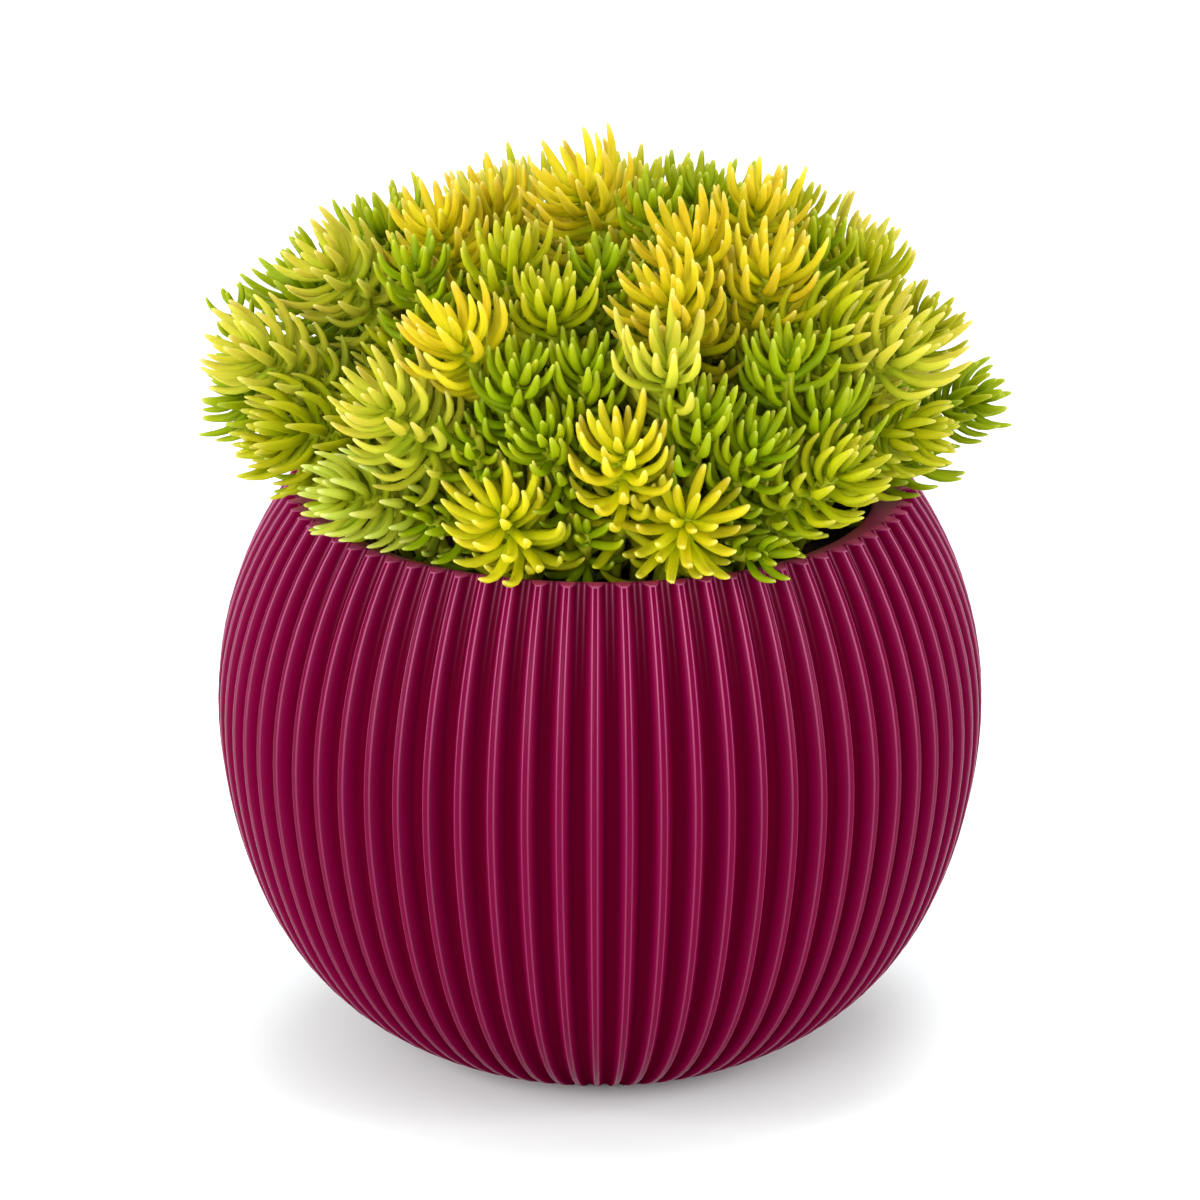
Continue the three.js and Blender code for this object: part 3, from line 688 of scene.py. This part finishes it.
def add_leaf(bm, layers, line, side, girth, marks):
    """Copies the pattern leaf into a shoot, bends it along its line, and marks it for its colour."""
    start = len(bm.verts)
    bm.from_mesh(leaf_pattern)
    bm.verts.ensure_lookup_table()
    frames = {round(level, 3): at for level, at in zip(LEAF_LEVELS, line)}
    for vertex in bm.verts[start:]:
        level = vertex.co.z
        place, along = frames[round(level, 3)]
        upper = side.cross(along)
        depth = LEAF_DEPTH * (LEAF_FLATTER if vertex.co.y > 0 else 1)
        for layer, value in zip(layers, (level, *marks)):
            vertex[layer] = value
        vertex.co = place + side * (vertex.co.x * LEAF_WIDTH * girth) + upper * (vertex.co.y * depth * girth)


def stem_stations(head):
    """The stem's middle line from its foot in the soil to the top of its head: place, direction, radius."""
    drawn_in = ROOT_SPREAD * math.sqrt(max(ROOT_LEAST, 1 - head["rise"] / TOP_RISE))
    radius = min(ROOT_UNDER_HEAD * head["out"], drawn_in)
    lean = min(ROOT_LEAN + ROOT_LEAN_MORE * radius / ROOT_SPREAD, head["out"])
    along = heading(head["round"], lean)
    root = place_at(head["round"], radius, SOIL_HEIGHT)
    start, end, axis = root + along * ROOT_RISE, head["base"], head["axis"]
    reach = (end - start).length * STEM_BEND
    knots = [start, start + along * reach, end - axis * reach, end]
    stations = [(root - along * ROOT_DEPTH, along, STEM_RADIUS)]
    for row in range(STEM_ROWS + 1):
        t = row / STEM_ROWS
        shares = [(1 - t) ** 3, 3 * t * (1 - t) ** 2, 3 * t * t * (1 - t), t ** 3]
        slopes = [-3 * (1 - t) ** 2, 3 * (1 - t) * (1 - 3 * t), 3 * t * (2 - 3 * t), 3 * t * t]
        place = sum((knot * share for knot, share in zip(knots, shares)), Vector())
        direction = sum((knot * slope for knot, slope in zip(knots, slopes)), Vector())
        stations.append((place, direction.normalized(), STEM_RADIUS))
    for height, radius in CORE_RINGS:
        stations.append((end + axis * height * MM * head["girth"], axis, radius * MM * head["girth"]))
    return stations


def next_ring(bm, edges):
    """Extrudes a ring of edges where it is, and gives the new ring's vertices and edges."""
    grown = bmesh.ops.extrude_edge_only(bm, edges=edges)["geom"]
    return ([item for item in grown if isinstance(item, bmesh.types.BMVert)],
            [item for item in grown if isinstance(item, bmesh.types.BMEdge)])


def add_stem(bm, stations):
    """Extrudes the stem ring by ring along its stations and closes its tip."""
    ring = bmesh.ops.create_circle(bm, cap_ends=True, segments=STEM_SIDES, radius=1)["verts"]
    edges = list(bm.edges)
    before = Matrix.Identity(4)
    for row, (place, along, radius) in enumerate(stations):
        if row:
            ring, edges = next_ring(bm, edges)
        turn = Vector((0, 0, 1)).rotation_difference(along)
        after = Matrix.LocRotScale(place, turn, Vector((radius, radius, radius)))
        bmesh.ops.transform(bm, matrix=after @ before.inverted(), verts=ring)
        before = after
    bmesh.ops.contextual_create(bm, geom=edges)
    for face in bm.faces:
        face.material_index = 1


def head_spots(head, leaves):
    """Where the leaves of a head sit, youngest first: place, axis, first slope, last slope, length, age."""
    spots = []
    for leaf in range(leaves):
        share = (leaf + 0.5) / leaves
        height = (HEAD_TOP - HEAD_DROP * share ** HEAD_CROWDING) * head["girth"]
        first = ROOT_SLOPE + ROOT_SLOPE_MORE * share ** ROOT_SLOPE_SOON
        last = TIP_SLOPE + TIP_SLOPE_MORE * share ** TIP_SLOPE_SOON
        grown = YOUNGEST_LENGTH + LEFT_TO_GROW * min(1, share / GROWN_BY)
        length = LEAF_LENGTH * head["size"] * grown
        length *= 1 - OLD_SHORTER * max(0, share - OLD_FROM) / OLD_REST
        spots.append((head["base"] + head["axis"] * height, head["axis"], first, last, length,
                      HEAD_AGE * share))
    return spots


def stem_spots(head, curve, leaves):
    """Where the old leaves sit on the stem under the head, from the top down."""
    spots = []
    for leaf in range(leaves):
        below = HEAD_DROP - HEAD_TOP + STEM_LEAF_STEP * (leaf + 0.5)
        travelled = 0
        for (low, low_along, _), (high, high_along, _) in zip(curve[-2::-1], curve[:0:-1]):
            step = (high - low).length
            if travelled + step >= below:
                place = high.lerp(low, (below - travelled) / step)
                along = high_along.lerp(low_along, (below - travelled) / step).normalized()
                length = LEAF_LENGTH * head["size"] * STEM_LEAF_LENGTH
                age = STEM_LEAF_AGE + STEM_LEAF_OLDER * (leaf + 1) / leaves
                spots.append((place, along, *STEM_LEAF_SLOPES, length, age))
                break
            travelled += step
    return spots


def grow_shoot(head, number, head_leaves, stem_leaves):
    """The mesh of one leafy shoot: its stem, the leaves of its head, and a few old leaves below it."""
    chance = random.Random(SHOOT_SEED + number)
    bm = bmesh.new()
    layers = [bm.verts.layers.float.new(key) for key in ("along", "age", "chance", "sun")]
    stations = stem_stations(head)
    add_stem(bm, stations)
    bmesh.ops.recalc_face_normals(bm, faces=bm.faces)
    axis, girth = head["axis"], head["girth"]
    sun = min(1, max(0, (head["rise"] - SUN_FROM) / SUN_OVER))
    spots = head_spots(head, head_leaves) + stem_spots(head, stations[1:STEM_ROWS + 2], stem_leaves)
    aside = Vector((1, 0, 0)) if abs(axis.x) < SIDEWAYS else Vector((0, 1, 0))
    start = chance.uniform(0, 360)
    for leaf, (place, along, first, last, length, age) in enumerate(spots):
        across = (aside - along * aside.dot(along)).normalized()
        turn = math.radians(start + leaf * GOLDEN_TURN + chance.uniform(-TURN_DRAW, TURN_DRAW))
        out = across * math.cos(turn) + along.cross(across) * math.sin(turn)
        sway = chance.uniform(-SWAY_DRAW, SWAY_DRAW)
        slopes = (first + sway, last + sway)
        root = place + out * (LEAF_SEAT * girth)
        line = fitted_line(root, out, along, slopes, length * chance.uniform(*LENGTH_DRAW), number)
        if line:
            for point, _ in line[1:]:
                occupied.setdefault(cell_of(point), []).append((number, point))
            width = NARROWEST + WIDER * min(1, length / LEAF_LENGTH)
            add_leaf(bm, layers, line, along.cross(out), width * girth, (age, chance.random(), sun))
    return bm


def leaf_material(name, root, middle, upper, tip, old_leaf_shade, low_hue):
    """Fleshy leaf skin: coloured from root to tip, greener and darker on old leaves, the darker being
    painted shade, and, where low_hue is set, greener on heads low on the cushion, and a little different on
    each leaf."""
    skin, shader, add = new_material(name, roughness=0.42, specular=0.07)

    def mapped(source, low, high, start=0.0):
        """A pattern or mark whose values from the start to 1 are stretched between two others."""
        settings = {"Value": source, "From Min": start, "To Min": low, "To Max": high}
        return add("MapRange", settings).outputs[0]

    fresh = colour_ramp(add, mark(add, "along"), list(zip(COLOUR_LEVELS, (root, middle, upper, tip))))
    # Painted shade: old leaves low in the head are mixed toward a darker, greener colour.
    old = mapped(mark(add, "age"), 0, OLD_SHADE_AT_MOST, OLD_SHADE_FROM_AGE)
    aged_and_shaded = add("MixRGB", {"Fac": old, "Color1": fresh, "Color2": (*old_leaf_shade, 1)}).outputs[0]
    hue = mapped(mark(add, "chance"), *HUE_RANGE)
    value = mapped(specks(add, MOTTLE_SCALE), *VALUE_RANGE)
    varied = add("HueSaturation", {"Hue": hue, "Value": value, "Color": aged_and_shaded}).outputs[0]
    if low_hue:
        shaded = mapped(mark(add, "sun"), SAME_HUE + low_hue, SAME_HUE)
        varied = add("HueSaturation", {"Hue": shaded, "Color": varied}).outputs[0]
    join(skin, varied, shader.inputs["Base Color"])
    shader.inputs["Subsurface Weight"].default_value = SAP_SHARE
    shader.inputs["Subsurface Radius"].default_value = SAP_REACH
    shader.inputs["Subsurface Scale"].default_value = SAP_DEPTH
    return skin


heads = [head_from(row) for row in FRONT_HEADS]
back_random = random_source(BACK_SEED)
back_count = 0
for spot in range(BACK_SPOTS):
    round_, out, rise, _ = spiral_spot(spot, BACK_SPOTS, BACK_FIRST_TURN, CUSHION)
    base = place_at(round_, out, RIM_HEIGHT + rise * MM)
    if base.y > BACK_FRONTIER * MM and rise > BACK_LOWEST and roomy(base, BACK_SPACING, heads):
        lean = BACK_LEAN + LOW_LEAN * max(0, 1 - rise / UPRIGHT_RISE) + BACK_LEAN_DRAW * back_random()
        size = BACK_SIZE + BACK_SIZE_DRAW * back_random()
        faces = round_ + BACK_TURN_DRAW * (back_random() - 0.5)
        colour = BACK_COLOURS[back_count % len(BACK_COLOURS)]
        heads.append(head_from((round_, out, rise, faces, lean, size, colour)))
        back_count += 1

# The pattern leaf stands straight up from the origin, one unit long.
bm = bmesh.new()
bmesh.ops.create_circle(bm, segments=LEAF_SIDES, radius=LEAF_ROWS[0][1])
edges = list(bm.edges)
for (low, narrow), (high, wide) in zip(LEAF_ROWS, LEAF_ROWS[1:]):
    ring, edges = next_ring(bm, edges)
    bmesh.ops.translate(bm, verts=ring, vec=(0, 0, high - low))
    bmesh.ops.scale(bm, verts=ring, vec=(wide / narrow, wide / narrow, 1))
ring, edges = next_ring(bm, edges)
bmesh.ops.pointmerge(bm, verts=ring, merge_co=(0, 0, 1))
bmesh.ops.recalc_face_normals(bm, faces=bm.faces)
leaf_pattern = bpy.data.meshes.new("leaf_pattern")
bm.to_mesh(leaf_pattern)
bm.free()

stem_skin, shader, add = new_material("stem_skin", roughness=0.5, specular=0.1)
streaks = specks(add, STREAK_SCALE, STREAK_DETAIL)
join(stem_skin, colour_ramp(add, streaks, STEM_TONES), shader.inputs["Base Color"])
leaf_skins = {name: leaf_material("leaf_" + name, *colours) for name, colours in LEAF_COLOURS.items()}

# The points that shoots already hold, by their cell of space.
occupied = {}
for number, head in enumerate(heads, 1):
    node = "shoot_%02d" % number
    leaves = (HEAD_LEAVES, STEM_LEAVES) if head["size"] > SPRIG_SIZE else SPRIG_LEAVES
    shoot = finished(grow_shoot(head, number, *leaves), "leafy_" + node,
                     leaf_skins[head["colour"]], stem_skin)
    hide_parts(node)

# Young shoots between the heads.
# Smaller, greener shoots fill the cushion between and under the large heads. They are the same plant, with
# fleshy stems rooted in the soil. A few stand where the front shows them; the rest follow an even spiral.
YOUNG_HEADS = [
    (-22.6, 78, 28, 0, 25, 0.75, "green"),
    (-3, 68, 5, 0, 50, 0.75, "green"),
    (0, 50, 63, 0, 0, 0.75, "green"),
    (71, 57, 60, 60, 6, 0.8, "green"),
    (36.5, 82, 17, 80, 72, 0.8, "green"),
    (27, 74, 3, 50, 75, 0.75, "green"),
    (-48, 60, 61, -40, 10, 0.75, "green"),
    (-62, 84, 20, -80, 85, 0.75, "lime"),
    (26, 29, 72, 0, 5, 0.75, "green"),
]
# Each layer under the cushion's surface: its radius, its height above its middle, the middle's height above
# the rim, the lowest share of that height, the spacing of its shoots, and their sizes.
YOUNG_LAYERS = [(73, 38, 12, -0.1, 17, (0.76, 0.9)), (52, 30, 8, 0.0, 17, (0.76, 0.84))]
YOUNG_SPOTS, YOUNG_FIRST_TURN = 500, 100
YOUNG_SEED = 3
# How far chance turns a young shoot to either side, the lean at the cushion's middle height, and what
# chance adds to it.
YOUNG_TURN_DRAW = 25
YOUNG_LOW_LEAN, YOUNG_LEAN_DRAW = 70, 12
# No young shoot stands here, where the front shows white between two heads and a sprig: the limits round
# from the front, and the least distance out from the axis and up from the rim.
OPEN_ROUND, OPEN_OUT, OPEN_RISE = (-95, -70), 60, 24
YOUNG_LEAVES = (28, 6)
YOUNG_COLOURS = ["green", "lime", "green"]

young_random = random.Random(YOUNG_SEED)
young = [head_from(row) for row in YOUNG_HEADS]
for *layer, spacing, sizes in YOUNG_LAYERS:
    for spot in range(YOUNG_SPOTS):
        round_, out, rise, sine = spiral_spot(spot, YOUNG_SPOTS, YOUNG_FIRST_TURN, layer)
        base = place_at(round_, out, RIM_HEIGHT + rise * MM)
        open_air = OPEN_ROUND[0] < round_ < OPEN_ROUND[1] and out > OPEN_OUT and rise > OPEN_RISE
        if not open_air and roomy(base, spacing, heads + young):
            faces = round_ + young_random.uniform(-YOUNG_TURN_DRAW, YOUNG_TURN_DRAW)
            lean = YOUNG_LOW_LEAN * (1 - max(0, sine)) + young_random.uniform(0, YOUNG_LEAN_DRAW)
            colour = YOUNG_COLOURS[len(young) % len(YOUNG_COLOURS)]
            young.append(head_from((round_, out, rise, faces, lean, young_random.uniform(*sizes), colour)))

for colour in ("green", "lime"):
    fused = bmesh.new()
    for number, head in enumerate(young, len(heads) + 1):
        if head["colour"] == colour:
            grown = grow_shoot(head, number, *YOUNG_LEAVES)
            mesh = bpy.data.meshes.new("young_shoot")
            grown.to_mesh(mesh)
            grown.free()
            fused.from_mesh(mesh)
            bpy.data.meshes.remove(mesh)
    piece = finished(fused, "young_shoots_" + colour, leaf_skins[colour], stem_skin)

bpy.data.meshes.remove(leaf_pattern)

low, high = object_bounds()
